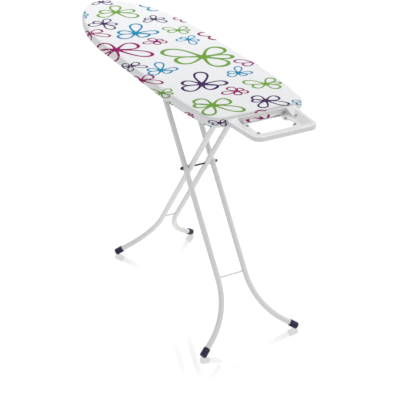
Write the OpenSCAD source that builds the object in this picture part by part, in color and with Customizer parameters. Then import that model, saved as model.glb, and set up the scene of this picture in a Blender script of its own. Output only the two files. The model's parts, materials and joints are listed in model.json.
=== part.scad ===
// Folding ironing board: an X frame of two bent-tube leg pairs under a padded
// top, with a moulded iron rest at the tail. Millimetres, +Z up, +X from the
// nose towards the iron rest, origin on the floor under the middle of the
// whole object. Left is the -Y side.

/* [Board] */
// Length of the padded top
board_len = 1215; // [1100:5:1300]
// Width of the padded top
board_w = 380; // [340:5:420]
// Height of the ironing surface above the floor
board_top = 862; // [850:1:880]
// Depth of the edge of the top, from the surface to the hem
board_t = 32; // [30:1:36]
// Length of the rounded nose
nose_len = 470; // [380:5:500]
// Exponent of the nose curve: 2 is an ellipse, less is more pointed
nose_power = 1.9; // [1.7:0.05:2.2]
// Radius of the tail corners
tail_r = 55; // [40:1:70]

/* [Iron rest] */
// How far the iron rest stands out past the tail
rest_len = 153; // [130:1:170]
// Half width of the iron rest at its root
rest_half_root = 121; // [110:1:125]
// Half width of the iron rest at its outer end
rest_half_end = 109; // [100:1:118]
// Radius of the outer corners of the iron rest
rest_r = 30; // [20:1:40]

/* [Legs] */
// Lean of each leg pair from vertical
leg_angle = 36.5; // [30:0.5:42]
// Length of a leg from the pivot to the centre of its foot
foot_arm = 616.4; // [600:0.1:625]
// Height of the two top bars of the legs
top_axis_z = 815; // [812:1:818]
// Outside diameter of the leg tubes
tube_d = 19; // [18:0.5:19.5]
// Wall of the leg tubes
tube_wall = 1.2; // [1:0.1:2]
// Half spacing of the straight tubes of the outer legs
outer_half = 52.5; // [52:0.5:56]
// Half spacing of the straight tubes of the inner legs
inner_half = 30.5; // [28:0.5:30.5]
// Half spread of the outer feet
outer_spread = 177.5; // [160:0.5:180]
// Half spread of the inner feet
inner_spread = 157.5; // [150:0.5:165]
// Radius of the bend above each foot
bend_r = 250; // [220:5:260]
// Angle of the bend above each foot
bend_angle = 50; // [45:1:55]

/* [Motion] */
// Fold of the legs to the highest working position, from the drawn one
fold_up = 10; // [5:1:12]
// Fold of the legs to the flat position, from the drawn one
fold_flat = 51.5; // [45:0.5:51.5]

/* [Hidden] */
$fn = 64;
eps = 1;                    // how far a cutter runs past the face it cuts

// Places along X
nose_x = -(board_len + rest_len) / 2;
tail_x = nose_x + board_len;
rest_x = tail_x + rest_len;
pivot_x = nose_x + 821;     // the leg pivot, measured from the nose
nose_full_x = nose_x + nose_len;
taper_x = tail_x - 312;     // where the sides begin to draw in to the tail
taper_k = 0.0003;           // inward draw of a side per square millimetre

// Layers of the top
cover_t = 2;
pad_t = 5;
sheet_t = 1;
rim_t = 1.2;
rim_flange = 10;
hem_w = 24;
board_low = board_top - board_t;
cover_in = board_low + cover_t;
pad_top = board_top - cover_t;
panel_top = pad_top - pad_t;
panel_low = panel_top - sheet_t;

// Legs
foot_r = 12;
foot_len = 22;
foot_flat = 9;
tube_r = tube_d / 2;
pivot_z = foot_r + foot_arm * cos(leg_angle);
top_arm = (top_axis_z - pivot_z) / cos(leg_angle);
hinge_x = pivot_x + top_arm * sin(leg_angle);
sleeve_len = 8;
sleeve_proud = 0.15;
sleeve_gap = 1;             // from each tube end to the middle of its sleeve
inner_brace_arm = 385;
outer_brace_arm = 390;
brace_r = 2.8;
rod_r = 3;
bush_r = 5;
bush_collar_r = 7.5;
bush_gap = 0.4;
run_gap = 0.05;
outer_bar_r = 9.5;
inner_bar_r = 9.5;
inner_bar_wall = 1.5;
plug_len = 12;
plug_rim = 2;
plug_head = 3;
bar_half = 87;
nut_af = 10;
nut_h = 5;
washer_t = 1.2;
washer_r = 6.5;
nut_dome_h = 3.5;
socket_end = 2;             // solid tip of a foot cap, from its centre to the tube end

// Slide rails for the outer top bar
glide_r = 11;
glide_len = 10;
slide_gap = 0.4;
rail_t = 1.5;
rail_y = 88;                // inside face of the web
rail_lip = 12;
rail_flange = 16;
rail_nose_x = bar_x(fold_flat) - 26;
rail_tail_x = bar_x(-fold_up) + 24;
function bar_x(fold) = hinge_x - 2 * top_arm * sin(leg_angle + fold);

// Hinge brackets of the inner top bar
bracket_y = 66;
bracket_w = 18;
bracket_half = 17;
rivet_r = 2;
rivet_head_r = 4;
rivet_head_h = 1.6;
rail_rivet_y = rail_y + 9;
bracket_foot = 9;

// Lock shaft, comb and lever
shaft_y = 14;
shaft_z = 834;
shaft_r = 4;
shaft_nose_x = rail_nose_x - 18;
shaft_tail_x = tail_x - 38;
comb_reach = 26;
comb_t = 2;
comb_notch_w = 2 * outer_bar_r + 1.4;
comb_notch_d = 14;
comb_nose_x = bar_x(fold_flat) - 14;
comb_tail_x = bar_x(-fold_up) + 14;
comb_folds = [-fold_up, -5, 0, 5, 10, 15, fold_flat];
lever_x = shaft_tail_x - 12;
lever_w = 12;
lever_reach = 58;
lever_boss = 3;             // wall of the lever's hub round the shaft
lever_t = 3;
grip_wall = 3;
grip_len = 32;
shaft_bracket_t = 6;
hanger_r = 6;               // rounded lower end of a shaft hanger
hanger_foot = 12;           // length along X of its foot
hanger_foot_y = 42;
hanger_rivet_y = 15;
shaft_bracket_x = [shaft_nose_x + 4, comb_tail_x + 12, lever_x - 26];

// Iron rest
rest_top = board_top - 10;
rest_low = board_top - 24;
rest_root_x = tail_x - 30;
rest_rim = 7;
rest_wall = 4;
rest_floor_z = 832;
rest_floor_t = 4;
rest_tongue_z = 825;
dish_end_x = tail_x + 106;     // flat bottom of the dish, inside the slopes
dish_half = 78;
dish_r = 12;
dish_skin = 2;              // how far its underside reaches past its inside
shoulder_y = 84;            // shoulders beside the tail face
shoulder_top = board_top - 7;
shoulder_len = 6;
shoulder_end_x = tail_x + 46;
rest_bar_h = 11;            // bar along the tail face, from shoulder to shoulder
open_end_x = tail_x + 95;
open_left = -62;
open_right = 72;
open_r = 16;
finger_x = tail_x + 34;
finger_half = 16;
finger_y = 56;
stud_r = 4.2;
stud_h = 2.6;
stud_dome_r = 6.7;
stud_stem_r = 2.2;
stud_r_seat = 6.5;
stud_seat_z = rest_floor_z + 6;
stud_high_z = rest_floor_z + 13;   // seat of the stud on the slope
stud_spots = [[finger_x + 6, finger_y + 6, stud_seat_z], [finger_x + 15, 92, stud_high_z],
    [open_end_x - 5, 62, stud_seat_z], [finger_x, -67, stud_seat_z],
    [open_end_x - 1, -65, stud_seat_z]];
tongue_x = tail_x - 92;
tongue_y = 60;
tongue_w = 32;
riser_len = 32;
screw_r = 2.5;
screw_pitch = 16;
screw_head_r = 4.5;
screw_head_h = 2.4;
root_half = 100;            // half width of the plate under the tail of the board
post_nose = 4;              // posts that carry the floor, from the tail edge
post_tail = 12;
post_shift = 6;             // their middle past the middle of the tongues

// Perforation of the steel sheet
perf_r = 7;
perf_pitch = 48;
perf_rows = [46, 124, 152];
perf_edge = 26;

// ---------------------------------------------------------------- outlines

// Half width of the top at x past the start of the tail taper
function taper_half(x) = board_w / 2 - taper_k * pow(max(x - taper_x, 0), 2);

// Half width of the top at any x between the nose and the tail corners
function half_at(x) = x < nose_full_x
    ? board_w / 2 * pow(1 - pow((nose_full_x - x) / nose_len, nose_power), 1 / nose_power)
    : taper_half(x);

// One side of the top from the nose tip to the middle of the tail, drawn in
// by inset all round
function board_side(inset) = let (
    half = board_w / 2 - inset,
    reach = nose_len - inset,
    r = tail_r - inset,
    a0 = atan(2 * taper_k * (tail_x - tail_r - taper_x)),
    corner_x = tail_x - inset - r * (1 - sin(a0)),
    corner_y = taper_half(corner_x) - inset,
    nose = [for (a = [90 : -4.5 : 0])
        [nose_full_x - reach * pow(sin(a), 2 / nose_power), half * pow(cos(a), 2 / nose_power)]],
    side = [for (i = [0 : 6]) let (x = taper_x + i * (corner_x - taper_x) / 7)
        [x, taper_half(x) - inset]],
    corner = [for (a = [a0 : (90 - a0) / 8 : 90.01])
        [corner_x + r * (sin(a) - sin(a0)), corner_y + r * (cos(a) - cos(a0))]])
    concat(nose, side, corner);

function mirrored(side) = concat(side,
    [for (i = [len(side) - 1 : -1 : 0]) if (side[i][1] > 0.001) [side[i][0], -side[i][1]]]);

// Plan with round corners at its end, symmetric about the X axis
function plan(root_x, end_x, half_root, half_end, r) = let (
    slope = atan((half_root - half_end) / (end_x - root_x)),
    corner = [for (i = [0 : 8]) let (a = (90 - slope) * (1 - i / 8))
        [end_x - r + r * cos(a), half_end - r + r * sin(a)]])
    mirrored(concat([[root_x, 0], [root_x, half_root]], corner));

// Outline of the iron rest, drawn in by inset
function rest_outline(inset) = plan(rest_root_x + inset, rest_x - inset,
    rest_half_root - inset, rest_half_end - inset, rest_r - inset);

// Flat bottom of the dish of the iron rest, grown by margin
function dish_outline(margin) = plan(rest_root_x, dish_end_x + margin,
    dish_half + margin, dish_half + margin, dish_r + margin);

// Solid between two plans with the same number of points
module loft(under, low, over, high) {
    n = len(under);
    polyhedron(
        points = concat([for (p = under) [p[0], p[1], low]], [for (p = over) [p[0], p[1], high]]),
        faces = concat([for (i = [1 : n - 2]) [0, i + 1, i]],
            [for (i = [1 : n - 2]) [n, n + i, n + i + 1]],
            [for (i = [0 : n - 1]) [i, (i + 1) % n, n + i]],
            [for (i = [0 : n - 1]) [(i + 1) % n, n + (i + 1) % n, n + i]]));
}

module slab(points, low, high) {
    translate([0, 0, low]) linear_extrude(high - low) polygon(points);
}

module board_slab(inset, low, high) { slab(mirrored(board_side(inset)), low, high); }

module box(low, high) { translate(low) cube(high - low); }

module at_pivot(lean) { translate([pivot_x, 0, pivot_z]) rotate([0, lean, 0]) children(); }

// A cylinder along Y, centred on a point in the XZ plane
module y_bar(x, z, r, low, high) {
    translate([x, high, z]) rotate([90, 0, 0]) cylinder(r = r, h = high - low);
}

// A cylinder along X
module x_bar(y, z, r, low, high) {
    translate([low, y, z]) rotate([0, 90, 0]) cylinder(r = r, h = high - low);
}

// ---------------------------------------------------------------- the top

module cover() {
    color([0.93, 0.93, 0.95]) difference() {
        board_slab(0, board_low, board_top);
        board_slab(cover_t, cover_in, pad_top);
        board_slab(hem_w, board_low - eps, cover_in + eps);
    }
}

module pad() { color([0.85, 0.84, 0.8]) board_slab(cover_t, panel_top, pad_top); }

// Steam holes in staggered rows, kept clear of the rim
module perforation() {
    for (row = [0 : len(perf_rows) - 1], side = [-1, 1], i = [0 : 24]) {
        x = nose_x + 60 + (i + (row % 2) / 2) * perf_pitch;
        if (x < tail_x - 40 && perf_rows[row] < half_at(x) - perf_edge)
            translate([x, side * perf_rows[row], panel_low - eps])
                cylinder(r = perf_r, h = sheet_t + 2 * eps);
    }
}

module top_panel() {
    color([0.72, 0.73, 0.74]) difference() {
        board_slab(cover_t, panel_low, panel_top);
        perforation();
        at_rail_rivets() rivet_shank();
        at_bracket_rivets() rivet_shank();
        at_rest_screws() cylinder(r = screw_r, h = 3 * eps);
    }
}

// Turned-down edge of the panel, with a flange that the hem folds round
module panel_rim() {
    color([0.72, 0.73, 0.74]) difference() {
        board_slab(cover_t, cover_in, panel_low);
        board_slab(cover_t + rim_t, cover_in + rim_t, panel_low + eps);
        board_slab(cover_t + rim_flange, cover_in - eps, cover_in + rim_t + eps);
    }
}

// ---------------------------------------------------------------- rails

module at_rail_rivets() {
    for (side = [-1, 1], i = [0 : 3])
        translate([rail_nose_x + 20 + i * (rail_tail_x - rail_nose_x - 40) / 3,
            side * rail_rivet_y, panel_low]) children();
}

module rivet_shank() { translate([0, 0, -rail_t]) cylinder(r = rivet_r, h = rail_t + sheet_t); }

module rivet() {
    rivet_shank();
    translate([0, 0, -rail_t - rivet_head_h]) cylinder(r = rivet_head_r, h = rivet_head_h);
}

// C channel, open towards the middle, hung from the steel sheet by its web
module slide_rail() {
    channel_low = top_axis_z - glide_r - slide_gap;
    channel_high = top_axis_z + glide_r + slide_gap;
    color([0.6, 0.61, 0.63]) difference() {
        union() {
            box([rail_nose_x, rail_y, channel_low - rail_t],
                [rail_tail_x, rail_y + rail_t, panel_low]);
            box([rail_nose_x, rail_y, panel_low - rail_t],
                [rail_tail_x, rail_y + rail_flange, panel_low]);
            for (low = [channel_low - rail_t, channel_high])
                box([rail_nose_x, rail_y - rail_lip, low],
                    [rail_tail_x, rail_y + rail_t, low + rail_t]);
            for (x = [rail_nose_x, rail_tail_x - rail_t])
                box([x, rail_y - rail_lip, channel_low - rail_t],
                    [x + rail_t, rail_y + rail_t, channel_high + rail_t]);
        }
        at_rail_rivets() rivet_shank();
    }
}

module slide_rail_right() { slide_rail(); }
module slide_rail_left() { mirror([0, 1, 0]) slide_rail(); }
module rail_rivets() { color([0.5, 0.5, 0.52]) at_rail_rivets() rivet(); }

// ---------------------------------------------------------------- brackets

module at_bracket_rivets() {
    for (side = [-1, 1], end = [-1, 1])
        translate([hinge_x + end * (bracket_half + bracket_foot), side * (bracket_y + bracket_w / 2),
            panel_low]) children();
    for (x = shaft_bracket_x, end = [-1, 1])
        translate([x, shaft_y + end * hanger_rivet_y, panel_low]) children();
}

// Bearing block for one end of the inner top bar
module hinge_bracket() {
    color([0.25, 0.26, 0.29]) difference() {
        union() {
            box([hinge_x - bracket_half, bracket_y, top_axis_z],
                [hinge_x + bracket_half, bracket_y + bracket_w, panel_low]);
            y_bar(hinge_x, top_axis_z, bracket_half, bracket_y, bracket_y + bracket_w);
            box([hinge_x - bracket_half - 2 * bracket_foot, bracket_y, panel_low - rail_t],
                [hinge_x + bracket_half + 2 * bracket_foot, bracket_y + bracket_w, panel_low]);
        }
        y_bar(hinge_x, top_axis_z, inner_bar_r + run_gap, bracket_y - eps,
            bracket_y + bracket_w + eps);
        at_bracket_rivets() rivet_shank();
    }
}

module hinge_bracket_right() { hinge_bracket(); }
module hinge_bracket_left() { mirror([0, 1, 0]) hinge_bracket(); }
module bracket_rivets() { color([0.5, 0.5, 0.52]) at_bracket_rivets() rivet(); }

// Hanger with a running bore for the lock shaft
module shaft_bracket(x) {
    low = x - shaft_bracket_t / 2;
    color([0.6, 0.61, 0.63]) difference() {
        union() {
            box([low, shaft_y - hanger_r, shaft_z],
                [low + shaft_bracket_t, shaft_y + hanger_r, panel_low]);
            x_bar(shaft_y, shaft_z, hanger_r, low, low + shaft_bracket_t);
            box([x - hanger_foot / 2, shaft_y - hanger_foot_y / 2, panel_low - rail_t],
                [x + hanger_foot / 2, shaft_y + hanger_foot_y / 2, panel_low]);
        }
        x_bar(shaft_y, shaft_z, shaft_r + run_gap, low - eps, low + shaft_bracket_t + eps);
        at_bracket_rivets() rivet_shank();
    }
}

module shaft_bracket_nose() { shaft_bracket(shaft_bracket_x[0]); }
module shaft_bracket_middle() { shaft_bracket(shaft_bracket_x[1]); }
module shaft_bracket_tail() { shaft_bracket(shaft_bracket_x[2]); }

// ---------------------------------------------------------------- iron rest

module at_rest_screws() {
    for (side = [-1, 1], end = [-1, 1])
        translate([tongue_x + (riser_len + end * screw_pitch) / 2, side * (tongue_y + tongue_w / 2),
            panel_low]) children();
}

// Each stud's stem, from the underside of the dish to its seat
module stud_stems(r, over) {
    for (spot = stud_spots)
        translate([spot[0], spot[1], rest_floor_z - over])
            cylinder(r = r, h = spot[2] - rest_floor_z + 2 * over);
}

// Window between the tail of the board and the end of the rest, with round
// outer corners
module rest_window() {
    for (y = [open_left + open_r, open_right - open_r])
        translate([open_end_x - open_r, y, rest_tongue_z - eps])
            cylinder(r = open_r, h = rest_top - rest_tongue_z + 2 * eps);
    box([tail_x, open_left, rest_tongue_z - eps],
        [open_end_x - open_r, open_right, rest_top + eps]);
    box([tail_x, open_left + open_r, rest_tongue_z - eps],
        [open_end_x, open_right - open_r, rest_top + eps]);
}

module rest_finger() {
    high = rest_floor_z + rest_floor_t;
    translate([finger_x, finger_y + finger_half, rest_floor_z])
        cylinder(r = finger_half, h = rest_floor_t);
    box([finger_x - finger_half, finger_y + finger_half, rest_floor_z],
        [finger_x + finger_half, open_right + eps, high]);
}

// Raised shoulders that run up the tail face on both sides of the window
module rest_shoulders() {
    intersection() {
        slab(rest_outline(0), rest_floor_z, shoulder_top);
        for (side = [-1, 1])
            translate([0, side * (shoulder_y + board_w / 4) + board_w / 4, 0]) rotate([90, 0, 0])
                linear_extrude(board_w / 2) polygon([[rest_root_x, rest_low],
                    [rest_root_x, shoulder_top], [tail_x + shoulder_len, shoulder_top],
                    [shoulder_end_x, rest_low + 2], [shoulder_end_x, rest_low]]);
    }
}

module iron_rest() {
    color([0.88, 0.88, 0.89]) union() {
        box([tail_x, -shoulder_y - eps, shoulder_top - rest_bar_h],
            [tail_x + shoulder_len, shoulder_y + eps, shoulder_top]);
        rest_plate();
    }
}

// Dish, shoulders, tongues and posts of the iron rest
module rest_plate() {
    difference() {
        union() {
            difference() {
                union() {
                    difference() {
                        slab(rest_outline(0), rest_low, rest_top);
                        slab(rest_outline(rest_wall), rest_low - eps, rest_top + eps);
                    }
                    difference() {
                        union() {
                            loft(dish_outline(dish_skin), rest_floor_z,
                                rest_outline(rest_wall - 0.5), rest_top - rest_wall);
                            slab(rest_outline(rest_wall - 0.5), rest_top - rest_wall, rest_top);
                        }
                        loft(dish_outline(0), rest_floor_z + rest_floor_t,
                            rest_outline(rest_rim), rest_top + eps);
                    }
                    rest_shoulders();
                    stud_stems(stud_r_seat, 0);
                }
                board_slab(0, board_low, board_top + eps);
            }
            box([rest_root_x, -root_half, rest_tongue_z], [tail_x, root_half, board_low]);
            for (side = [-1, 1]) {
                y = side * (tongue_y + tongue_w / 2);
                post_y = y + post_shift;
                box([tongue_x, y - tongue_w / 2, rest_tongue_z],
                    [rest_root_x + eps, y + tongue_w / 2, board_low]);
                box([tongue_x, y - tongue_w / 2, rest_tongue_z],
                    [tongue_x + riser_len, y + tongue_w / 2, panel_low]);
                box([tail_x - post_nose, post_y - tongue_w / 2, rest_tongue_z],
                    [tail_x + post_tail, post_y + tongue_w / 2, board_low]);
                box([tail_x, post_y - tongue_w / 2, rest_tongue_z],
                    [tail_x + post_tail, post_y + tongue_w / 2, rest_floor_z + eps]);
            }
        }
        difference() {
            rest_window();
            rest_finger();
            stud_stems(stud_r_seat, 0);
        }
        stud_stems(stud_stem_r, eps);
        at_rest_screws() translate([0, 0, rest_tongue_z - panel_low - eps])
            cylinder(r = screw_r, h = panel_low - rest_tongue_z + 2 * eps);
    }
}

// Heat-resisting rubber studs that the iron stands on
module rest_studs() {
    color([0.3, 0.3, 0.31]) {
        stud_stems(stud_stem_r, 0);
        for (spot = stud_spots) translate(spot) intersection() {
            translate([0, 0, stud_h - stud_dome_r]) sphere(r = stud_dome_r);
            cylinder(r = stud_r, h = stud_h);
        }
    }
}

module rest_screws() {
    color([0.35, 0.35, 0.37]) at_rest_screws() {
        translate([0, 0, rest_tongue_z - panel_low])
            cylinder(r = screw_r, h = panel_top - rest_tongue_z);
        translate([0, 0, rest_tongue_z - panel_low - screw_head_h])
            cylinder(r = screw_head_r, h = screw_head_h);
    }
}

// ---------------------------------------------------------------- lock

module lock_shaft() {
    color([0.55, 0.56, 0.58]) x_bar(shaft_y, shaft_z, shaft_r, shaft_nose_x, shaft_tail_x);
}

// Notched strip on the shaft: a notch for each working height and one for flat
module lock_comb() {
    color([0.55, 0.56, 0.58]) difference() {
        box([comb_nose_x, shaft_y - comb_reach, shaft_z - comb_t / 2],
            [comb_tail_x, shaft_y, shaft_z + comb_t / 2]);
        x_bar(shaft_y, shaft_z, shaft_r, comb_nose_x - eps, comb_tail_x + eps);
        for (fold = comb_folds)
            box([bar_x(fold) - comb_notch_w / 2, shaft_y - comb_reach - eps, shaft_z - comb_t],
                [bar_x(fold) + comb_notch_w / 2, shaft_y - comb_reach + comb_notch_d,
                    shaft_z + comb_t]);
    }
}

module release_lever() {
    color([0.55, 0.56, 0.58]) difference() {
        union() {
            x_bar(shaft_y, shaft_z, shaft_r + lever_boss, lever_x - lever_w / 2,
                lever_x + lever_w / 2);
            box([lever_x - lever_w / 2, shaft_y - lever_reach, shaft_z - lever_t / 2],
                [lever_x + lever_w / 2, shaft_y, shaft_z + lever_t / 2]);
        }
        x_bar(shaft_y, shaft_z, shaft_r, lever_x - lever_w, lever_x + lever_w);
    }
}

// Plastic sleeve on the end of the lever
module lever_grip() {
    grip_y = shaft_y - lever_reach;
    half_w = lever_w / 2 + grip_wall;
    half_t = lever_t / 2 + grip_wall;
    color([0.12, 0.12, 0.26]) difference() {
        union() {
            box([lever_x - half_w, grip_y - grip_wall, shaft_z - half_t],
                [lever_x + half_w, grip_y + grip_len, shaft_z + half_t]);
            translate([lever_x, grip_y - grip_wall, shaft_z - half_t])
                cylinder(r = half_w, h = 2 * half_t);
        }
        box([lever_x - lever_w / 2, grip_y, shaft_z - lever_t / 2],
            [lever_x + lever_w / 2, grip_y + grip_len + eps, shaft_z + lever_t / 2]);
    }
}

// ---------------------------------------------------------------- legs

module ring(r, wall, h) {
    difference() {
        cylinder(r = r, h = h);
        translate([0, 0, -eps]) cylinder(r = r - wall, h = h + 2 * eps);
    }
}

// Sleeve that joins two lengths of tube end to end, barely thicker than the tube
module joint_sleeve() {
    translate([0, 0, -sleeve_len / 2])
        ring(tube_r + sleeve_proud, tube_wall + 2 * sleeve_proud, sleeve_len);
}

// A bent leg on the +Y side in the frame of its pivot: straight down from the
// top bar, then an arc and a short straight to the foot, coped to the bar and
// bored for the pivot
module leg_tube(half, spread, bar_r, hole_r) {
    run = (spread - half - bend_r * (1 - cos(bend_angle))) / sin(bend_angle);
    bend_z = -foot_arm + bend_r * sin(bend_angle) + run * cos(bend_angle);
    gap_angle = sleeve_gap / bend_r * 180 / PI;
    difference() {
        translate([0, half, bend_z + sleeve_gap])
            ring(tube_r, tube_wall, top_arm - bend_z - sleeve_gap);
        translate([0, half, top_arm]) rotate([90, 0, 0])
            cylinder(r = bar_r, h = 3 * tube_d, center = true);
        translate([0, half, 0]) rotate([90, 0, 0])
            cylinder(r = hole_r, h = 3 * tube_d, center = true);
    }
    translate([0, half, bend_z]) joint_sleeve();
    translate([0, half + bend_r, bend_z]) rotate([90, 0, 90])
        rotate([0, 0, 180 + gap_angle])
            rotate_extrude(angle = bend_angle - 2 * gap_angle, $fn = 96)
                translate([bend_r, 0]) difference() {
                    circle(r = tube_r);
                    circle(r = tube_r - tube_wall);
                }
    translate([0, spread, -foot_arm]) rotate([bend_angle, 0, 0]) {
        translate([0, 0, run]) joint_sleeve();
        translate([0, 0, socket_end]) ring(tube_r, tube_wall, run - socket_end - sleeve_gap);
    }
}

// Foot cap on the end of a leg: a socket for the tube and a rounded, flattened tip
module foot_cap(spread) {
    color([0.1, 0.1, 0.24]) translate([0, spread, -foot_arm]) rotate([bend_angle, 0, 0])
        difference() {
            union() {
                cylinder(r = foot_r, h = foot_len);
                intersection() {
                    sphere(r = foot_r);
                    translate([0, 0, -foot_flat]) cylinder(r = foot_r, h = foot_flat);
                }
            }
            translate([0, 0, socket_end]) cylinder(r = tube_r, h = foot_len);
        }
}

// Brace between two straight tubes, coped to them
module brace(half, arm) {
    difference() {
        translate([0, 0, -arm]) rotate([90, 0, 0])
            cylinder(r = brace_r, h = 2 * half, center = true);
        for (side = [-1, 1]) translate([0, side * half, -arm - 2 * brace_r])
            cylinder(r = tube_r, h = 4 * brace_r);
    }
}

leg_grey = [0.82, 0.82, 0.8];

module inner_leg_right() {
    color(leg_grey) at_pivot(leg_angle) leg_tube(inner_half, inner_spread, inner_bar_r, bush_r);
}
module inner_leg_left() { mirror([0, 1, 0]) inner_leg_right(); }
module inner_foot_right() { at_pivot(leg_angle) foot_cap(inner_spread); }
module inner_foot_left() { mirror([0, 1, 0]) inner_foot_right(); }
module inner_brace() { color(leg_grey) at_pivot(leg_angle) brace(inner_half, inner_brace_arm); }

// Hollow cross tube that turns in the hinge brackets
module inner_top_bar() {
    color(leg_grey) difference() {
        y_bar(hinge_x, top_axis_z, inner_bar_r, -bar_half, bar_half);
        y_bar(hinge_x, top_axis_z, inner_bar_r - inner_bar_wall, -bar_half - eps, bar_half + eps);
    }
}

module inner_bar_plugs() {
    color([0.12, 0.12, 0.26]) for (side = [0, 1]) mirror([0, side, 0]) {
        y_bar(hinge_x, top_axis_z, inner_bar_r - inner_bar_wall, bar_half - plug_len, bar_half);
        y_bar(hinge_x, top_axis_z, inner_bar_r + plug_rim, bar_half, bar_half + plug_head);
    }
}

// Collared bush through an inner tube, on which the leg turns about the rod
module pivot_bush_right() {
    collar_y = inner_half + tube_r;
    color([0.78, 0.78, 0.77]) difference() {
        union() {
            y_bar(pivot_x, pivot_z, bush_r, inner_half - tube_r, collar_y);
            y_bar(pivot_x, pivot_z, bush_collar_r, collar_y, outer_half - tube_r - bush_gap);
        }
        y_bar(pivot_x, pivot_z, rod_r + run_gap, 0, outer_half);
    }
}
module pivot_bush_left() { mirror([0, 1, 0]) pivot_bush_right(); }

module outer_leg_right() {
    color(leg_grey) at_pivot(-leg_angle) leg_tube(outer_half, outer_spread, outer_bar_r, rod_r);
}
module outer_leg_left() { mirror([0, 1, 0]) outer_leg_right(); }
module outer_foot_right() { at_pivot(-leg_angle) foot_cap(outer_spread); }
module outer_foot_left() { mirror([0, 1, 0]) outer_foot_right(); }
module outer_brace() { color(leg_grey) at_pivot(-leg_angle) brace(outer_half, outer_brace_arm); }

// Solid bar whose ends slide in the rails
module outer_top_bar() {
    color(leg_grey) y_bar(bar_x(0), top_axis_z, outer_bar_r, -bar_half, bar_half);
}

// Round nylon glide on one end of the outer top bar
module glide_right() {
    color([0.93, 0.93, 0.9]) difference() {
        y_bar(bar_x(0), top_axis_z, glide_r, bar_half - glide_len, bar_half);
        y_bar(bar_x(0), top_axis_z, outer_bar_r, bar_half - glide_len - eps, bar_half + eps);
    }
}
module glide_left() { mirror([0, 1, 0]) glide_right(); }

// ---------------------------------------------------------------- pivot

nut_y = outer_half + tube_r + washer_t;

module pivot_rod() {
    color([0.2, 0.2, 0.21]) y_bar(pivot_x, pivot_z, rod_r, -nut_y - nut_h, nut_y + nut_h);
}

module pivot_washers() {
    color([0.5, 0.5, 0.52]) for (side = [0, 1]) mirror([0, side, 0]) difference() {
        y_bar(pivot_x, pivot_z, washer_r, nut_y - washer_t, nut_y);
        y_bar(pivot_x, pivot_z, rod_r, nut_y - 2 * washer_t, nut_y + washer_t);
    }
}

// Domed hexagon nut
module pivot_nut_right() {
    color([0.14, 0.14, 0.15]) difference() {
        translate([pivot_x, nut_y, pivot_z]) rotate([-90, 0, 0]) {
            cylinder(d = nut_af / cos(30), h = nut_h, $fn = 6);
            intersection() {
                translate([0, 0, nut_h]) sphere(r = nut_af / 2 - 0.5);
                translate([0, 0, nut_h]) cylinder(r = nut_af, h = nut_dome_h);
            }
        }
        y_bar(pivot_x, pivot_z, rod_r, nut_y - eps, nut_y + nut_h);
    }
}
module pivot_nut_left() { mirror([0, 1, 0]) pivot_nut_right(); }

// ---------------------------------------------------------------- nodes

cover();
pad();
top_panel();
panel_rim();
slide_rail_left();
slide_rail_right();
rail_rivets();
hinge_bracket_left();
hinge_bracket_right();
bracket_rivets();
shaft_bracket_nose();
shaft_bracket_middle();
shaft_bracket_tail();
iron_rest();
rest_studs();
rest_screws();
lock_shaft();
lock_comb();
release_lever();
lever_grip();
inner_leg_left();
inner_leg_right();
inner_top_bar();
inner_brace();
inner_bar_plugs();
inner_foot_left();
inner_foot_right();
pivot_bush_left();
pivot_bush_right();
outer_leg_left();
outer_leg_right();
outer_top_bar();
outer_brace();
glide_left();
glide_right();
outer_foot_left();
outer_foot_right();
pivot_rod();
pivot_washers();
pivot_nut_left();
pivot_nut_right();
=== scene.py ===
"""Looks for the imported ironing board: printed cover, felt pad, moulded iron rest, bent tubes,
foot caps and studio."""

import json
import math

import bpy
import numpy as np
from mathutils import Matrix, Vector


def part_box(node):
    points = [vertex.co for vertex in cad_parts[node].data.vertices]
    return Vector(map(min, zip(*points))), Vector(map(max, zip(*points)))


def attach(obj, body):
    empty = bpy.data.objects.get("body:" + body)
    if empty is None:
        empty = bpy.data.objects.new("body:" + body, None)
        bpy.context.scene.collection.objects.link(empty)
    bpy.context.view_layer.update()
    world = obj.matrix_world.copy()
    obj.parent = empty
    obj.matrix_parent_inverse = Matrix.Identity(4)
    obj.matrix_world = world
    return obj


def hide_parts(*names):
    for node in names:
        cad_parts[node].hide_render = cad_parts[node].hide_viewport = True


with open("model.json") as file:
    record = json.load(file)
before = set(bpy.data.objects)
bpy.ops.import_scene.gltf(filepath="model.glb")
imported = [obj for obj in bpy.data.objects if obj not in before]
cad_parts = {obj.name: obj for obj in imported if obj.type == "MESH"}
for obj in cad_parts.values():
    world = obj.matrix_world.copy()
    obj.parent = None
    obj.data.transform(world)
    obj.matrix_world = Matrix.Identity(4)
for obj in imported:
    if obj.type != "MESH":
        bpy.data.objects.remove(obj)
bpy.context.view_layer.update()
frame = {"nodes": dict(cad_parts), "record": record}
nodes = frame["nodes"]

# ------------------------------------------------------------------ places

cover_low, cover_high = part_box("cover")
NOSE_X, TAIL_X = cover_low.x, cover_high.x
HALF_W = cover_high.y
TOP_Z, HEM_Z = cover_high.z, cover_low.z
NOSE_FULL_X = NOSE_X + 0.470      # where the nose reaches the full width
NOSE_POWER = 1.9
TAPER_X = TAIL_X - 0.312          # where the sides begin to draw in
TAPER_K = 0.3                     # inward draw of a side per square metre
TAIL_R = 0.055

rod_low, rod_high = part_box("pivot_rod")
PIVOT = Vector(((rod_low.x + rod_high.x) / 2, 0, (rod_low.z + rod_high.z) / 2))
bar_low, bar_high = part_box("inner_top_bar")
LEAN = math.radians(36.5)
TOP_ARM = ((bar_low.z + bar_high.z) / 2 - PIVOT.z) / math.cos(LEAN)
FOOT_ARM = 0.6164
BRACE_ARMS = {"inner": 0.385, "outer": 0.390}
BEND_R, BEND = 0.250, math.radians(50)
TUBE_R, BRACE_R, CAP_R = 0.0095, 0.0028, 0.012
HALVES = {"inner": 0.0305, "outer": 0.0525}
SPREADS = {"inner": 0.1575, "outer": 0.1775}


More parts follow.
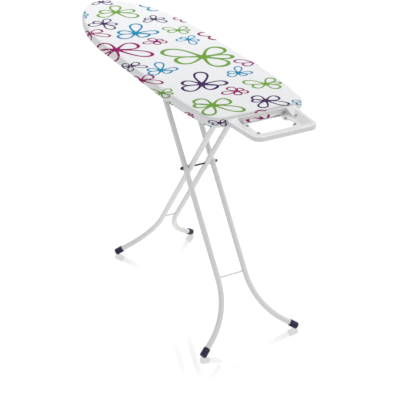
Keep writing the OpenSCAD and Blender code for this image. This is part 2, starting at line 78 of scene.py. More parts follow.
def srgb(r, g, b):
    """A linear colour from 0 to 255 display values."""
    return [((c / 255 + 0.055) / 1.055) ** 2.4 if c > 10 else c / 3294.6 for c in (r, g, b)]


# ------------------------------------------------------------------ materials


def add_node(tree, kind, inputs=(), **settings):
    """A new node with its settings, and its inputs set or linked."""
    made = tree.nodes.new(kind)
    for key, value in settings.items():
        setattr(made, key, value)
    for key, value in dict(inputs).items():
        if isinstance(value, bpy.types.NodeSocket):
            tree.links.new(value, made.inputs[key])
        else:
            made.inputs[key].default_value = value
    return made


class Shader:
    """A Principled material with short calls for its nodes and links."""

    def __init__(self, name, color, rough, **sockets):
        self.mat = bpy.data.materials.new(name)
        self.mat.use_nodes = True
        self.tree = self.mat.node_tree
        self.bsdf = self.tree.nodes["Principled BSDF"]
        self.bsdf.inputs["Base Color"].default_value = (*color, 1)
        self.bsdf.inputs["Roughness"].default_value = rough
        for key, value in sockets.items():
            self.bsdf.inputs[key.replace("_", " ")].default_value = value
        self.place = self.node("ShaderNodeTexCoord").outputs["Object"]

    def node(self, kind, inputs=(), **settings):
        return add_node(self.tree, kind, inputs, **settings)

    def math(self, operation, a, b=0.0, clamp=False):
        return self.node("ShaderNodeMath", {0: a, 1: b}, operation=operation,
                         use_clamp=clamp).outputs[0]

    def noise(self, scale, detail=3.0, rough=0.55, place=None):
        return self.node("ShaderNodeTexNoise", {"Vector": place or self.place, "Scale": scale,
                                                "Detail": detail, "Roughness": rough}).outputs["Fac"]

    def stretched(self, x, y, z):
        """The object's coordinates, scaled by axis."""
        return self.node("ShaderNodeMapping",
                         {"Vector": self.place, "Scale": (x, y, z)}).outputs[0]

    def spread(self, value, low, high, to_low=0.0, to_high=1.0):
        return self.node("ShaderNodeMapRange", {"Value": value, 1: low, 2: high,
                                                3: to_low, 4: to_high}).outputs[0]

    def mix(self, fac, a, b):
        """From colour a to colour b, each a socket or three numbers."""
        a, b = (c if isinstance(c, bpy.types.NodeSocket) else (*c, 1) for c in (a, b))
        return self.node("ShaderNodeMix", {0: fac, 6: a, 7: b}, data_type="RGBA").outputs[2]

    def color(self, socket):
        self.tree.links.new(socket, self.bsdf.inputs["Base Color"])

    def roughness(self, socket):
        self.tree.links.new(socket, self.bsdf.inputs["Roughness"])

    def bump(self, height, distance, strength=1.0, below=None):
        inputs = {"Height": height, "Distance": distance, "Strength": strength}
        if below is not None:
            inputs["Normal"] = below
        out = self.node("ShaderNodeBump", inputs).outputs[0]
        self.tree.links.new(out, self.bsdf.inputs["Normal"])
        return out


def shade(color, amount):
    return [c * amount for c in color]


def coated(name, color, rough, grain, dirt=0.93):
    """Satin paint or powder coat: orange peel, cloudy colour and faint rubbed patches."""
    s = Shader(name, color, rough)
    cloud = s.noise(9.0, 4.0)
    s.color(s.mix(s.spread(cloud, 0.3, 0.7), shade(color, dirt), color))
    rubbed = s.spread(s.noise(38.0, 6.0, 0.7), 0.45, 0.7)
    s.roughness(s.spread(rubbed, 0, 1, rough - 0.06, rough + 0.1))
    peel = s.bump(s.noise(420.0, 2.0), grain)
    s.bump(s.noise(1900.0, 2.0), grain * 0.35, 0.6, peel)
    return s.mat


def moulded(name, color, rough, grain, dirt=0.9, gloss=0.5):
    """Moulded plastic: fine spark-eroded grain, slow flow clouds and handling marks."""
    s = Shader(name, color, rough, Specular_IOR_Level=gloss)
    cloud = s.noise(14.0, 3.0)
    s.color(s.mix(s.spread(cloud, 0.3, 0.7), shade(color, dirt), color))
    marks = s.spread(s.noise(60.0, 5.0, 0.65), 0.4, 0.75)
    s.roughness(s.spread(marks, 0, 1, rough - 0.08, rough + 0.12))
    cells = s.node("ShaderNodeTexVoronoi", {"Vector": s.place, "Scale": 1500.0},
                   feature="SMOOTH_F1").outputs["Distance"]
    s.bump(s.noise(60.0, 2.0), grain * 2, 0.5, s.bump(cells, grain))
    return s.mat


def metal(name, color, rough, axis, stain=0.7):
    """Plated or blackened steel: drawing lines along one axis, crystal spangle and stains."""
    s = Shader(name, color, rough, Metallic=0.9)
    along = [900.0 if i != axis else 14.0 for i in range(3)]
    lines = s.noise(1.0, 3.0, 0.6, s.stretched(*along))
    spangle = s.node("ShaderNodeTexVoronoi", {"Vector": s.place, "Scale": 160.0}).outputs["Color"]
    cloud = s.noise(24.0, 4.0)
    tone = s.mix(s.spread(cloud, 0.35, 0.75), color, shade(color, stain))
    s.color(s.mix(s.math("MULTIPLY", s.node("ShaderNodeRGBToBW", {0: spangle}).outputs[0], 0.35),
                  tone, shade(color, 1.25)))
    s.roughness(s.spread(lines, 0.3, 0.7, rough - 0.07, rough + 0.12))
    s.bump(lines, 0.00005, 0.7)
    return s.mat


def felt():
    """Needled felt: matted fibres with lighter and darker flecks."""
    base = srgb(205, 200, 190)
    s = Shader("felt", base, 0.95, Sheen_Weight=0.3)
    fibres = s.noise(1.0, 6.0, 0.75, s.stretched(900.0, 500.0, 700.0))
    flecks = s.noise(260.0, 5.0, 0.7)
    s.color(s.mix(s.spread(flecks, 0.35, 0.7), shade(base, 0.78), base))
    s.bump(fibres, 0.0006)
    return s.mat


THREAD = 0.00075                  # one thread of the weave, from middle to middle
STITCH_ROW = 0.0480               # of the hem, along the cloth from the flat top
STITCH_HALF, STITCH_RUN, STITCH_SHARE = 0.00055, 0.0034, 0.72


def printed_cotton():
    """Plain-woven cotton with printed ink. The mesh carries cloth coordinates in metres, how
    it lies to the nearest printed line, as print_on says, and that line's ink colour."""
    cloth = srgb(224, 225, 227)
    s = Shader("printed_cotton", cloth, 0.82, Sheen_Weight=0.02, Sheen_Roughness=0.4,
               Specular_IOR_Level=0.06)

    def carried(name, output):
        return s.node("ShaderNodeAttribute", attribute_name=name).outputs[output]

    uv = s.node("ShaderNodeSeparateXYZ", {0: carried("cloth", "Vector")})
    wobble = s.noise(90.0, 2.0, place=carried("cloth", "Vector"))
    threads = []
    for axis in ("X", "Y"):
        turns = s.math("MULTIPLY", uv.outputs[axis], math.pi / THREAD)
        turns = s.math("ADD", turns, s.math("MULTIPLY", wobble, 6.0))
        threads.append(s.math("SINE", turns))
    over = s.math("MULTIPLY", threads[0], threads[1])
    warp, weft = (s.math("ABSOLUTE", t) for t in threads)
    pick = s.math("GREATER_THAN", over, 0.0)
    weave = s.math("ADD", s.math("MULTIPLY", warp, pick),
                   s.math("MULTIPLY", weft, s.math("SUBTRACT", 1.0, pick)))
    slub = s.noise(1.0, 4.0, 0.6, s.node("ShaderNodeMapping", {
        "Vector": carried("cloth", "Vector"), "Scale": (60.0, 1400.0, 1.0)}).outputs[0])
    ground = s.mix(s.spread(slub, 0.35, 0.75), shade(cloth, 0.95), cloth)
    # Painted shade: the ground is darker in the gaps between the threads, where the weave is low
    ground = s.mix(s.math("MULTIPLY", s.math("SUBTRACT", 1.0, weave), 0.10),
                   ground, shade(cloth, 0.75))

    # Ink: soaks a little way into the weave at its edge, and is thinner over the thread tops
    line = s.node("ShaderNodeSeparateXYZ", {0: carried("drawn", "Vector")}).outputs
    edge = s.math("SUBTRACT", line[1], s.math("ABSOLUTE", line[0]))
    edge = s.math("MAXIMUM", edge, line[2])
    edge = s.math("ADD", edge, s.math("MULTIPLY", weave, 0.2))
    edge = s.math("ADD", edge, s.spread(s.noise(700.0, 2.0), 0.3, 0.7, -0.1, 0.1))
    inked = s.spread(edge, -0.1, 0.15)
    inked = s.math("MULTIPLY", inked, s.spread(slub, 0.3, 0.8, 1.0, 0.985))
    color = s.mix(inked, ground, carried("ink_color", "Color"))

    # Lockstitch round the hem, in dashes on a line of its own
    depth, along = carried("hem_depth", "Fac"), carried("hem_along", "Fac")
    off = s.math("ABSOLUTE", s.math("SUBTRACT", depth, STITCH_ROW))
    row = s.math("LESS_THAN", off, STITCH_HALF)
    turn = s.math("FRACT", s.math("DIVIDE", along, STITCH_RUN))
    dash = s.math("LESS_THAN", turn, STITCH_SHARE)
    stitch = s.math("MULTIPLY", row, dash)
    s.color(s.mix(stitch, color, srgb(250, 250, 250)))
    s.roughness(s.spread(weave, 0, 1, 0.9, 0.74))
    creases = s.bump(s.noise(26.0, 3.0, place=carried("cloth", "Vector")), 0.0012, 0.35)
    woven = s.bump(weave, 0.00012, 0.7, creases)
    s.bump(stitch, 0.0004, 0.8, woven)
    return s.mat


GREY_COAT = coated("powder_coat", srgb(218, 218, 217), 0.36, 0.00003, 0.975)
PANEL_COAT = coated("panel_steel", srgb(196, 198, 200), 0.45, 0.00005)
REST_PLASTIC = moulded("rest_plastic", srgb(208, 208, 209), 0.42, 0.00003, 0.96)
NAVY = moulded("navy_plastic", srgb(22, 20, 62), 0.34, 0.00003, gloss=0.3)
BLACK = moulded("black_plastic", srgb(52, 53, 58), 0.45, 0.00003)
NYLON = moulded("nylon", srgb(226, 224, 214), 0.4, 0.00002)
RUBBER = moulded("stud_rubber", srgb(118, 119, 122), 0.7, 0.00004)
ZINC = metal("zinc_steel", srgb(186, 190, 196), 0.34, 0)
DARK = metal("dark_steel", srgb(62, 62, 66), 0.42, 1, 0.6)
FELT = felt()
COTTON = printed_cotton()

FINISHES = {"printed_cotton": COTTON, "felt": FELT, "panel_steel": PANEL_COAT,
            "zinc_steel": ZINC, "powder_coat": GREY_COAT, "rest_plastic": REST_PLASTIC,
            "stud_rubber": RUBBER, "navy_plastic": NAVY, "black_plastic": BLACK,
            "nylon": NYLON, "dark_steel": DARK}

for part in frame["record"]["subparts"]:
    for mesh_slot in nodes[part["node"]].material_slots:
        mesh_slot.link = "OBJECT"
        mesh_slot.material = FINISHES[part["material_slot"]]

# ------------------------------------------------------------------ mesh helpers


def make_object(name, points, faces, finish, body):
    mesh = bpy.data.meshes.new(name)
    mesh.from_pydata([tuple(p) for p in points], [], faces)
    mesh.validate()
    mesh.polygons.foreach_set("use_smooth", [True] * len(mesh.polygons))
    mesh.materials.append(FINISHES[finish])
    made = bpy.data.objects.new(name, mesh)
    bpy.context.scene.collection.objects.link(made)
    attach(made, body)
    return made


def sweep(line, radii, across, closed=False, sides=32):
    """Points and faces of a round tube along line, with flat ends unless it is closed. across is
    a direction that is never along the line, and radii has one radius for each of its points."""
    line = np.asarray(line, float)
    n = len(line)
    ahead = np.roll(line, -1, 0) - np.roll(line, 1, 0)
    if not closed:
        ahead[0], ahead[-1] = line[1] - line[0], line[-1] - line[-2]
    ahead /= np.linalg.norm(ahead, axis=1)[:, None]
    u = np.cross(ahead, across)
    u /= np.linalg.norm(u, axis=1)[:, None]
    v = np.cross(ahead, u)
    turn = np.arange(sides) * 2 * math.pi / sides
    ring = u[:, None] * np.cos(turn)[None, :, None] + v[:, None] * np.sin(turn)[None, :, None]
    points = (line[:, None] + ring * np.asarray(radii)[:, None, None]).reshape(-1, 3)
    faces = []
    for i in range(n if closed else n - 1):
        a, b = i * sides, (i + 1) % n * sides
        faces += [(a + j, b + j, b + (j + 1) % sides, a + (j + 1) % sides) for j in range(sides)]
    if not closed:
        faces += [tuple(range(sides)), tuple(n * sides - 1 - j for j in range(sides))]
    return points, faces


def joined(parts):
    """Several (points, faces) pairs as one."""
    points, faces, base = [], [], 0
    for p, f in parts:
        points.append(np.asarray(p, float))
        faces += [tuple(i + base for i in face) for face in f]
        base += len(p)
    return np.concatenate(points), faces


# ------------------------------------------------------------------ outline of the top

# On the sides that face the studio's camera, the print is carried on from the flat top along
# that camera's line of sight, and it looks stretched from other angles. VIEW_SIDE is the level
# direction to the camera, and PRINT_SLIP the metres along X and Y for each metre down.
VIEW_SIDE = np.array((0.88, -0.47))
PRINT_SLIP = (1.9, -1.05)


def half_outline():
    """Dense points of the +Y side of the top, from the nose tip to the middle side of the
    tail corner, and the outward direction at each."""
    a = np.linspace(math.pi / 2, 0, 1200)[:-1]
    reach = NOSE_FULL_X - NOSE_X
    nose = np.stack([NOSE_FULL_X - reach * np.sin(a) ** (2 / NOSE_POWER),
                     HALF_W * np.cos(a) ** (2 / NOSE_POWER)], 1)
    slope = math.atan(2 * TAPER_K * (TAIL_X - TAIL_R - TAPER_X))
    corner_x = TAIL_X - TAIL_R * (1 - math.sin(slope))
    x = np.concatenate([[NOSE_FULL_X], np.linspace(TAPER_X, corner_x, 200)])
    side = np.stack([x, HALF_W - TAPER_K * np.maximum(x - TAPER_X, 0) ** 2], 1)
    a = np.linspace(slope, math.pi / 2, 200)[1:]
    corner = np.stack([corner_x + TAIL_R * (np.sin(a) - math.sin(slope)),
                       side[-1, 1] + TAIL_R * (np.cos(a) - math.cos(slope))], 1)
    return np.concatenate([nose, side, corner])


def stations(step):
    """Evenly spaced points of half_outline and their outward directions."""
    dense = half_outline()
    run = np.concatenate([[0], np.cumsum(np.linalg.norm(np.diff(dense, axis=0), axis=1))])
    n = round(run[-1] / step)
    at = np.linspace(0, run[-1], n + 1)
    p = np.stack([np.interp(at, run, dense[:, 0]), np.interp(at, run, dense[:, 1])], 1)
    t = np.gradient(p, axis=0)
    t /= np.linalg.norm(t, axis=1)[:, None]
    out = np.stack([-t[:, 1], t[:, 0]], 1)
    out[0], out[-1] = (-1, 0), (1, 0)
    return p, out, at


# Ripples of the cover's side: wavelength in metres, start, and share of the height
RIPPLES = ((0.0233, 0.4, 0.5), (0.0141, 2.1, 0.35), (0.0523, 1.3, 0.4))


def board_skin(step, columns, edge, rows, top):
    """Points, faces and cloth data of a skin over the top: a flat sheet of stations by
    columns, then rows of (inset, height, arc) down the edge, all round. arc is how far the
    row is from the flat part, along the cloth."""
    p, out, at = stations(step)
    flat = p - out * edge
    flat[0, 1] = 0
    n = len(flat)
    share = np.linspace(-1, 1, columns + 1)
    x = np.repeat(flat[1:, 0], columns + 1)
    y = (flat[1:, 1:2] * share[None, :]).ravel()
    tip = flat[0]
    points = [np.concatenate([[tip[0]], x]), np.concatenate([[tip[1]], y])]
    points = np.stack([*points, np.full(len(x) + 1, top)], 1)
    cloth = points[:, :2].copy()
    shown = cloth.copy()
    wide = columns + 1

    def index(i, j):
        return 1 + (i - 1) * wide + j

    faces = [(0, index(1, j), index(1, j + 1)) for j in range(columns)]
    for i in range(1, n - 1):
        faces += [(index(i, j), index(i + 1, j), index(i + 1, j + 1), index(i, j + 1))
                  for j in range(columns)]
    # The boundary, from the nose tip along +Y, across the tail and back along -Y
    rim = [0] + [index(i, columns) for i in range(1, n)]
    rim += [index(n - 1, j) for j in range(columns - 1, 0, -1)]
    rim += [index(i, 0) for i in range(n - 1, 0, -1)]
    tail_y = flat[-1, 1] * share[-2:0:-1]
    flip = np.array([1, -1])
    base = np.concatenate([p, np.stack([np.full(len(tail_y), TAIL_X), tail_y], 1),
                           (p * flip)[:0:-1]])
    away = np.concatenate([out, np.tile([1.0, 0.0], (len(tail_y), 1)), (out * flip)[:0:-1]])
    gaps = np.linalg.norm(np.roll(base, -1, 0) - base, axis=1)
    along = np.concatenate([[0], np.cumsum(gaps)[:-1]])
    m = len(rim)
    depth, length = np.zeros(len(points)), np.zeros(len(points))
    bend = np.linalg.norm(np.roll(away, -1, 0) - away, axis=1) / gaps
    for count, (inset, height, arc, ripple) in enumerate(rows):
        waves = sum(np.sin(2 * math.pi * along / wave + turn) * size
                    for wave, turn, size in RIPPLES)
        waves *= ripple * (0.35 + np.minimum(bend * 0.05, 1.2))
        row = np.column_stack([base - away * (inset - waves * 0.3)[:, None], height + waves])
        start = len(points)
        points = np.concatenate([points, row])
        cloth = np.concatenate([cloth, base - away * edge + away * arc])
        drop = top - height
        seen = np.clip(away @ VIEW_SIDE * 3, 0, 1)[:, None]
        shown = np.concatenate([shown, base - away * edge * (1 - seen) + away * arc * (1 - seen)
                                - seen * away * max(inset, 0) + seen * drop * np.array(PRINT_SLIP)])
        depth = np.concatenate([depth, np.full(m, arc)])
        length = np.concatenate([length, along])
        last = rim if count == 0 else list(range(start - m, start))
        faces += [(last[k], last[(k + 1) % m], start + (k + 1) % m, start + k) for k in range(m)]
    return points, faces, cloth, shown, depth, length


# ------------------------------------------------------------------ the print

INKS = {"green": srgb(102, 150, 46), "purple": srgb(60, 26, 86), "magenta": srgb(138, 0, 92),
        "cyan": srgb(0, 127, 168)}
# Petals of each kind of flower: direction in degrees and length
KINDS = {"a": ((-135, 0.8), (-75, 0.9), (24, 0.65), (76, 1.0), (153, 1.3)),
         "b": ((-132, 0.8), (-76, 1.0), (27, 1.25), (83, 0.9), (157, 1.0)),
         "c": ((-157, 0.85), (-106, 0.75), (-42, 1.0), (41, 1.35), (97, 0.85)),
         "d": ((-167, 0.85), (-93, 1.1), (-27, 0.65), (53, 0.75), (110, 0.55)),
         "e": ((-141, 1.28), (-86, 0.86), (12, 0.94), (66, 0.86), (114, 0.92))}
# Ink, kind, size in millimetres, turn in degrees, and place on the cloth to 5 millimetres
FLOWERS = (
    ("green", "b", 78, 0, -515, -5), ("purple", "b", 55, -22, -415, -100),
    ("cyan", "a", 80, 0, -265, -40), ("purple", "b", 44, 0, -375, 85),
    ("cyan", "e", 75, 0, -485, 180), ("magenta", "e", 50, 10, -310, 205),
    ("green", "e", 47, 0, -225, 110), ("cyan", "b", 42, -30, -120, 95),
    ("magenta", "d", 46, 0, -155, -10), ("magenta", "c", 100, 0, -145, -170),
    ("magenta", "c", 60, 0, -345, -185), ("purple", "c", 42, 10, 15, -190),
    ("cyan", "a", 55, 6, 100, -120), ("magenta", "c", 58, 0, 140, -215),
    ("green", "e", 44, -12, 270, -205), ("green", "e", 30, 0, 355, -240),
    ("green", "e", 115, 0, 55, 60), ("cyan", "e", 52, 5, -555, -150),
    ("purple", "b", 40, 0, -655, -5), ("purple", "a", 80, 0, 270, -60),
    ("cyan", "a", 45, -3, 240, 90), ("green", "e", 56, 8, 360, 120),
    ("magenta", "d", 46, 0, 370, 10), ("green", "c", 75, 0, 430, -110),
    ("purple", "c", 56, -3, 475, 50), ("purple", "e", 27, 0, 555, -155),
    ("magenta", "e", 28, 20, 460, -220), ("cyan", "c", 22, 20, 550, -215),
    ("magenta", "e", 70, 10, -100, 225), ("magenta", "e", 52, 10, 180, 185),
    ("magenta", "b", 74, 8, 605, -20), ("cyan", "e", 30, 0, 545, 145),
)


PEN, PEN_SHARE = 0.0010, 0.040    # half width of the pen: a fixed part, and a share of the size
PETAL_WIDTH, PETAL_BEND = 0.365, 0.04
KNOT_SHARE = 0.085
EVEN_ROOM = 144                   # degrees from one neighbour of a petal to the other


def petal_lines(kind, size, turn):
    """The drawn line of each petal, a teardrop from the heart of the flower and back, and the
    half width of the pen along it."""
    t = np.linspace(0, 1, 56)
    brush = 0.85 + 0.40 * np.abs(np.cos(2 * math.pi * t)) ** 3 + 0.5 * np.cos(math.pi * t) ** 8
    pen = (PEN + PEN_SHARE * size) * brush
    ways = [way for way, _ in KINDS[kind]]
    for count, (way, length) in enumerate(KINDS[kind]):
        room = (ways[(count + 1) % 5] - ways[count - 1]) % 360 / EVEN_ROOM
        a = length * size * np.sin(math.pi * t) ** 2
        b = PETAL_WIDTH * size * room ** 1.3 * np.sin(2 * math.pi * t) * np.sin(math.pi * t) ** 1.5
        b += PETAL_BEND * size * (-1) ** count * np.sin(math.pi * t) ** 2
        way = math.radians(way + turn)
        x = a * math.cos(way) - b * math.sin(way)
        y = a * math.sin(way) + b * math.cos(way)
        yield np.stack([x, y], 1), pen


FAR = 20.0                        # millimetres, for cloth with no print near it


def print_on(cloth):
    """For each cloth point, in millimetres: how far it is from the nearest printed line, more
    than 0 inside an odd number of petals, the half width of that line, and how far it is
    inside the knot at a flower's heart. Then the colour of that flower."""
    drawn = np.tile([-FAR, 0.0, -FAR], (len(cloth), 1))
    color = np.ones((len(cloth), 4), np.float32)
    for name, kind, size, turn, x, y in FLOWERS:
        size, x, y = size / 1000, x / 1000, y / 1000
        local = cloth - (x, y)
        near = np.flatnonzero((np.abs(local) < 1.5 * size + 0.012).all(1))
        if not len(near):
            continue
        px, py = local[near].T
        best = np.tile([FAR, 0.0, 0.0], (len(near), 1))
        best[:, 2] = (KNOT_SHARE * size - np.hypot(px, py)) * 1000
        inside = np.zeros(len(near), bool)
        for line, pen in petal_lines(kind, size, turn):
            gap, half = np.full(len(near), 1.0), np.zeros(len(near))
            for k in range(len(line) - 1):
                (ax, ay), (bx, by) = line[k], line[k + 1]
                dx, dy = bx - ax, by - ay
                f = np.clip(((px - ax) * dx + (py - ay) * dy) / (dx * dx + dy * dy), 0, 1)
                here = np.hypot(px - ax - f * dx, py - ay - f * dy)
                closer = here < gap
                gap[closer] = here[closer]
                half[closer] = (pen[k] + f * (pen[k + 1] - pen[k]))[closer]
                if ay != by:
                    inside ^= ((ay > py) != (by > py)) & (px < ax + (py - ay) * dx / dy)
            closer = (half - gap) * 1000 > best[:, 1] - np.abs(best[:, 0])
            best[closer, 0], best[closer, 1] = gap[closer] * 1000, half[closer] * 1000
        best[~inside, 0] *= -1
        deep = np.maximum(best[:, 1] - np.abs(best[:, 0]), best[:, 2])
        old = np.maximum(drawn[near, 1] - np.abs(drawn[near, 0]), drawn[near, 2])
        closer = deep > old
        drawn[near[closer]] = best[closer]
        color[near[closer], :3] = INKS[name]
    return drawn, color


def attribute(mesh, name, kind, values):
    made = mesh.attributes.new(name, kind, "POINT")
    made.data.foreach_set({"FLOAT": "value", "FLOAT_VECTOR": "vector",
                           "FLOAT_COLOR": "color"}[kind], np.asarray(values, np.float32).ravel())


# ------------------------------------------------------------------ the cover


def cover_rows(edge, fold, tuck):
    """Rows of the cover below its flat top: round edge, side, round fold and tucked hem with
    its casing, as (inset, height, arc along the cloth, ripple)."""
    rows = []
    for k in range(1, 9):
        a = math.pi / 2 * k / 8
        rows.append((edge * (1 - math.sin(a)), TOP_Z - edge * (1 - math.cos(a)), edge * a, 0.0))
    arc = edge * math.pi / 2
    side = TOP_Z - edge - (HEM_Z + fold)
    for k in range(1, 8):
        rows.append((0.0, TOP_Z - edge - side * k / 7, arc + side * k / 7, 0.0005 * k / 7))
    arc += side
    for k in range(1, 5):
        a = math.pi / 2 * k / 4
        rows.append((fold * (1 - math.cos(a)), HEM_Z + fold * (1 - math.sin(a)),
                     arc + fold * a, 0.0007))
    arc += fold * math.pi / 2
    run = tuck - fold
    for k in range(1, 10):
        swell = 0.0014 * math.sin(math.pi * max(k / 9 - 0.45, 0) / 0.55)
        rows.append((fold + run * k / 9, HEM_Z - swell, arc + run * k / 9,
                     0.0007 + 0.0011 * k / 9))
    rows.append((tuck, HEM_Z + 0.0010, arc + run + 0.001, 0.0016))
    rows.append((tuck - 0.004, HEM_Z + 0.0014, arc + run + 0.005, 0.0012))
    return rows


EDGE_R, FOLD_R, TUCK = 0.012, 0.003, 0.022
COVER_STEP, COVER_COLUMNS = 0.0026, 150
SWELL = 0.00035                   # half the height of the slow swells on the top
points, faces, cloth, shown, depth, along = board_skin(
    COVER_STEP, COVER_COLUMNS, EDGE_R, cover_rows(EDGE_R, FOLD_R, TUCK), TOP_Z)
# Slow swells of the felt below, fading out at the edges
u, v = cloth[:, 0], cloth[:, 1]
swell = (np.sin(u * 31 + v * 17) + np.sin(u * 13 - v * 43 + 1.1) + np.sin(u * 7 + v * 71 + 2.3)) / 3
inside = np.clip((HALF_W - 0.008 - np.abs(v)) / 0.05, 0, 1) * (depth == 0)
points[:, 2] -= SWELL * (1 + swell) * inside
cover = make_object("cover_cloth", points, faces, "printed_cotton", "board")
drawn, ink_color = print_on(shown)
attribute(cover.data, "cloth", "FLOAT_VECTOR", np.column_stack([cloth, np.zeros(len(cloth))]))
attribute(cover.data, "drawn", "FLOAT_VECTOR", drawn)
attribute(cover.data, "ink_color", "FLOAT_COLOR", ink_color)
attribute(cover.data, "hem_depth", "FLOAT", depth)
attribute(cover.data, "hem_along", "FLOAT", along)
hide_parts("cover")

# ------------------------------------------------------------------ the pad

pad_low, pad_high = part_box("pad")
PAD_IN, PAD_EDGE = 0.002, 0.009
PAD_STEP, PAD_COLUMNS = 0.006, 60
FELT_NIP = 0.0008                 # the cut edge is drawn in and up by this at its foot
TUFT = 0.0003
pad_rows = [(PAD_EDGE - (PAD_EDGE - PAD_IN) * math.sin(a),
             pad_low.z + FELT_NIP + (pad_high.z - pad_low.z - FELT_NIP) * math.cos(a), 0, 0.0)
            for a in np.linspace(0.2, math.pi / 2, 7)]
pad_rows += [(PAD_IN + FELT_NIP, pad_low.z, 0, 0.0)]
points, faces, cloth, *_ = board_skin(PAD_STEP, PAD_COLUMNS, PAD_EDGE, pad_rows, pad_high.z)
last = np.count_nonzero(points[:, 2] >= pad_low.z + 1e-6)
faces.append(tuple(range(last, len(points))))
tufts = np.sin(cloth[:, 0] * 160) * np.sin(cloth[:, 1] * 160)
points[:, 2] -= TUFT * (1 + tufts) * (points[:, 2] > pad_high.z - 1e-6)
pad = make_object("pad_felt", points, faces, "felt", "board")
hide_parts("pad")

# ------------------------------------------------------------------ iron rest

# The CAD mesh, with its edges softened as on a moulding
REST_VOXEL, REST_PASSES, REST_KEEP = 0.0011, 6, 0.35
plastic = nodes["iron_rest"].data.copy()
rest = bpy.data.objects.new("iron_rest_moulding", plastic)
bpy.context.scene.collection.objects.link(rest)
remesh = rest.modifiers.new("remesh", "REMESH")
remesh.mode, remesh.voxel_size = "VOXEL", REST_VOXEL
soften = rest.modifiers.new("soften", "SMOOTH")
soften.factor, soften.iterations = 0.5, REST_PASSES
thin = rest.modifiers.new("thin", "DECIMATE")
thin.ratio = REST_KEEP
graph = bpy.context.evaluated_depsgraph_get()
moulding = bpy.data.meshes.new_from_object(rest.evaluated_get(graph))
rest.modifiers.clear()
rest.data = moulding
moulding.polygons.foreach_set("use_smooth", [True] * len(moulding.polygons))
moulding.materials.clear()
moulding.materials.append(REST_PLASTIC)
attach(rest, "board")
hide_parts("iron_rest")

# ------------------------------------------------------------------ legs


def at_pivot(points, lean, mirror):
    """Points in the frame of a leg's pivot, moved to their place on the object."""
    turn = Matrix.Translation(PIVOT) @ Matrix.Rotation(lean, 4, "Y")
    p = np.column_stack([np.asarray(points, float), np.ones(len(points))]) @ np.array(turn).T
    return p[:, :3] * (1, mirror, 1)


TUBE_SHORT = 0.002                # how far the tube's end stays inside its cap's foot centre
CAP_SIDES = 48
# Half section of a foot cap: distance up from the foot's centre, and radius
CAP_PROFILE = (
    (0.0221, 0.0096), (0.0224, 0.0105), (0.0220, 0.0115), (0.0205, 0.0119), (0.0190, CAP_R),
    (0.0186, 0.0117), (0.0180, 0.0117), (0.0176, CAP_R), (0.0100, CAP_R), (0.0030, CAP_R),
    (-0.0045, CAP_R), (-0.0066, 0.0117), (-0.0080, 0.0108), (-0.0088, 0.0094),
    (-0.0089, 0.0070), (-0.0090, 0.0001))
BEAD_POINTS, BEAD_RIPPLES, BEAD_DEPTH = 88, 22, 0.16
BAR_BEAD_R, BRACE_BEAD_R = 0.0012, 0.0011


def leg_line(half, spread):
    """Centreline of a leg: down from the top bar, round the bend and out to the foot."""
    run = (spread - half - BEND_R * (1 - math.cos(BEND))) / math.sin(BEND)
    bend_z = -FOOT_ARM + BEND_R * math.sin(BEND) + run * math.cos(BEND)
    line = [(0, half, TOP_ARM - s * (TOP_ARM - bend_z) / 12) for s in range(12)]
    line += [(0, half + BEND_R * (1 - math.cos(a)), bend_z - BEND_R * math.sin(a))
             for a in np.linspace(0, BEND, 40)]
    last = np.array(line[-1])
    way = np.array([0, math.sin(BEND), -math.cos(BEND)])
    line += [tuple(last + way * (run - TUBE_SHORT) * s / 4) for s in range(1, 5)]
    return line, way


def bead(curve, across, size):
    """A rippled weld bead along a closed curve."""
    n = len(curve)
    radii = [size * (1 + BEAD_DEPTH * math.sin(2 * math.pi * k * BEAD_RIPPLES / n))
             for k in range(n)]
    return sweep(curve, radii, across, closed=True, sides=8)


for which, lean in (("inner", LEAN), ("outer", -LEAN)):
    half, spread = HALVES[which], SPREADS[which]
    line, way = leg_line(half, spread)
    ring = np.linspace(0, 2 * math.pi, BEAD_POINTS, endpoint=False)
    bar_bead = [(TUBE_R * math.cos(a), half + TUBE_R * math.sin(a),
                 TOP_ARM - TUBE_R * abs(math.sin(a))) for a in ring]
    brace_bead = [(BRACE_R * math.cos(a),
                   half - math.sqrt(TUBE_R ** 2 - (BRACE_R * math.cos(a)) ** 2),
                   -BRACE_ARMS[which] + BRACE_R * math.sin(a)) for a in ring]
    welds = joined([bead(bar_bead, (0.3, 0.2, 1), BAR_BEAD_R),
                    bead(brace_bead, (0, 1, 0.1), BRACE_BEAD_R)])
    foot = np.array((0, spread, -FOOT_ARM))
    for side, mirror in (("left", -1), ("right", 1)):
        body = f"{which}_legs"
        p, f = sweep(line, [TUBE_R] * len(line), (1, 0, 0))
        leg = make_object(f"{which}_tube_{side}", at_pivot(p, lean, mirror), f, "powder_coat", body)
        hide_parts(f"{which}_leg_{side}")
        p, f = welds
        make_object(f"{which}_welds_{side}", at_pivot(p, lean, mirror), f, "powder_coat", body)
        p, f = sweep([foot - way * a for a, _ in CAP_PROFILE], [r for _, r in CAP_PROFILE],
                     (1, 0, 0), sides=CAP_SIDES)
        cap = make_object(f"{which}_cap_{side}", at_pivot(p, lean, mirror), f, "navy_plastic", body)
        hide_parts(f"{which}_foot_{side}")

# ------------------------------------------------------------------ studio

camera = bpy.data.objects.new("camera", bpy.data.cameras.new("camera"))
bpy.context.scene.collection.objects.link(camera)
bpy.context.scene.camera = camera
TARGET, DISTANCE = Vector((0.137, 0, 0.5)), 3.6337
AZIMUTH, ELEVATION = math.radians(61.8756), math.radians(26.532)
back = Vector((math.sin(AZIMUTH) * math.cos(ELEVATION), -math.cos(AZIMUTH) * math.cos(ELEVATION),
               math.sin(ELEVATION)))
camera.location = TARGET + back * DISTANCE
camera.rotation_mode = "QUATERNION"
camera.rotation_quaternion = back.to_track_quat("Z", "Y")
camera.data.sensor_width = 36
camera.data.lens = 95.35
camera.data.shift_x = 0.0026
camera.data.shift_y = -0.084
camera.data.clip_start, camera.data.clip_end = 0.1, 60

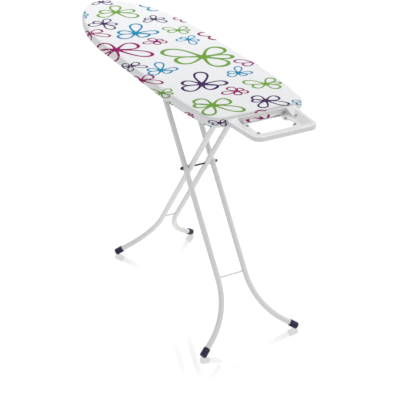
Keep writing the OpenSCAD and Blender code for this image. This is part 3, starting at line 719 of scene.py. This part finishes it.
world = bpy.data.worlds.new("studio")
bpy.context.scene.world = world
world.use_nodes = True
sky = world.node_tree.nodes["Background"]
sky.inputs["Color"].default_value = (1, 1, 1, 1)
# The studio walls light the object softly, and look white as a background and in the floor
WALL_LIGHT, WALL_WHITE = 0.71, 1.1
ray = add_node(world.node_tree, "ShaderNodeLightPath").outputs
seen_wall = add_node(world.node_tree, "ShaderNodeMath",
                     {0: ray["Is Camera Ray"], 1: ray["Is Glossy Ray"]}, operation="MAXIMUM")
walls = add_node(world.node_tree, "ShaderNodeMapRange",
                 {"Value": seen_wall.outputs[0], "To Min": WALL_LIGHT, "To Max": WALL_WHITE})
world.node_tree.links.new(walls.outputs[0], sky.inputs["Strength"])

floor_mesh = bpy.data.meshes.new("floor")
REACH = 14
floor_mesh.from_pydata([(x * REACH, y * REACH, 0) for x, y in ((-1, -1), (1, -1), (1, 1), (-1, 1))],
                       [], [(0, 1, 2, 3)])
floor = bpy.data.objects.new("floor", floor_mesh)
bpy.context.scene.collection.objects.link(floor)
paper = bpy.data.materials.new("floor_gloss")
paper.use_nodes = True
tree = paper.node_tree
tree.nodes.clear()

# The floor is polished round the four feet, and matt further out
POLISH_FROM, POLISH_TO, POLISH, POLISH_ROUGH = 0.04, 0.21, 0.38, 0.08
FLOOR_LIGHT = 1.04
spot = add_node(tree, "ShaderNodeTexCoord").outputs["Object"]
reach = None
for which in SPREADS:
    for side in ("left", "right"):
        foot_low, foot_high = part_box(f"{which}_foot_{side}")
        middle = (foot_low + foot_high) / 2
        away = add_node(tree, "ShaderNodeVectorMath", {0: spot, 1: (middle.x, middle.y, 0)},
                        operation="DISTANCE").outputs["Value"]
        reach = away if reach is None else add_node(
            tree, "ShaderNodeMath", {0: reach, 1: away}, operation="MINIMUM").outputs[0]
shine = add_node(tree, "ShaderNodeMapRange",
                 {"Value": reach, 1: POLISH_FROM, 2: POLISH_TO, 3: POLISH, 4: 0.0},
                 interpolation_type="SMOOTHSTEP").outputs[0]
# It lights the object from below. To the eye it is clear, on white, so feet that reach below
# their drawn height stay in sight
glow = add_node(tree, "ShaderNodeEmission", {"Strength": FLOOR_LIGHT}).outputs[0]
clear = add_node(tree, "ShaderNodeBsdfTransparent").outputs[0]
to_eye = add_node(tree, "ShaderNodeLightPath").outputs["Is Camera Ray"]
base = add_node(tree, "ShaderNodeMixShader", {0: to_eye, 1: glow, 2: clear}).outputs[0]
mirror = add_node(tree, "ShaderNodeBsdfGlossy", {"Roughness": POLISH_ROUGH}).outputs[0]
mixed = add_node(tree, "ShaderNodeMixShader", {0: shine, 1: base, 2: mirror}).outputs[0]
add_node(tree, "ShaderNodeOutputMaterial", {0: mixed})
floor_mesh.materials.append(paper)


def softbox(name, place, size, power):
    data = bpy.data.lights.new(name, "AREA")
    data.shape, data.size, data.energy = "DISK", size, power
    light = bpy.data.objects.new(name, data)
    bpy.context.scene.collection.objects.link(light)
    light.location = place
    way = Vector((0, 0, 0.5)) - Vector(place)
    light.rotation_mode = "QUATERNION"
    light.rotation_quaternion = way.to_track_quat("-Z", "Y")


softbox("key", (-1.2, 1.0, 3.6), 2.4, 60)
softbox("fill", (2.6, 2.2, 2.4), 2.0, 14)

bpy.context.scene.view_settings.view_transform = "Standard"
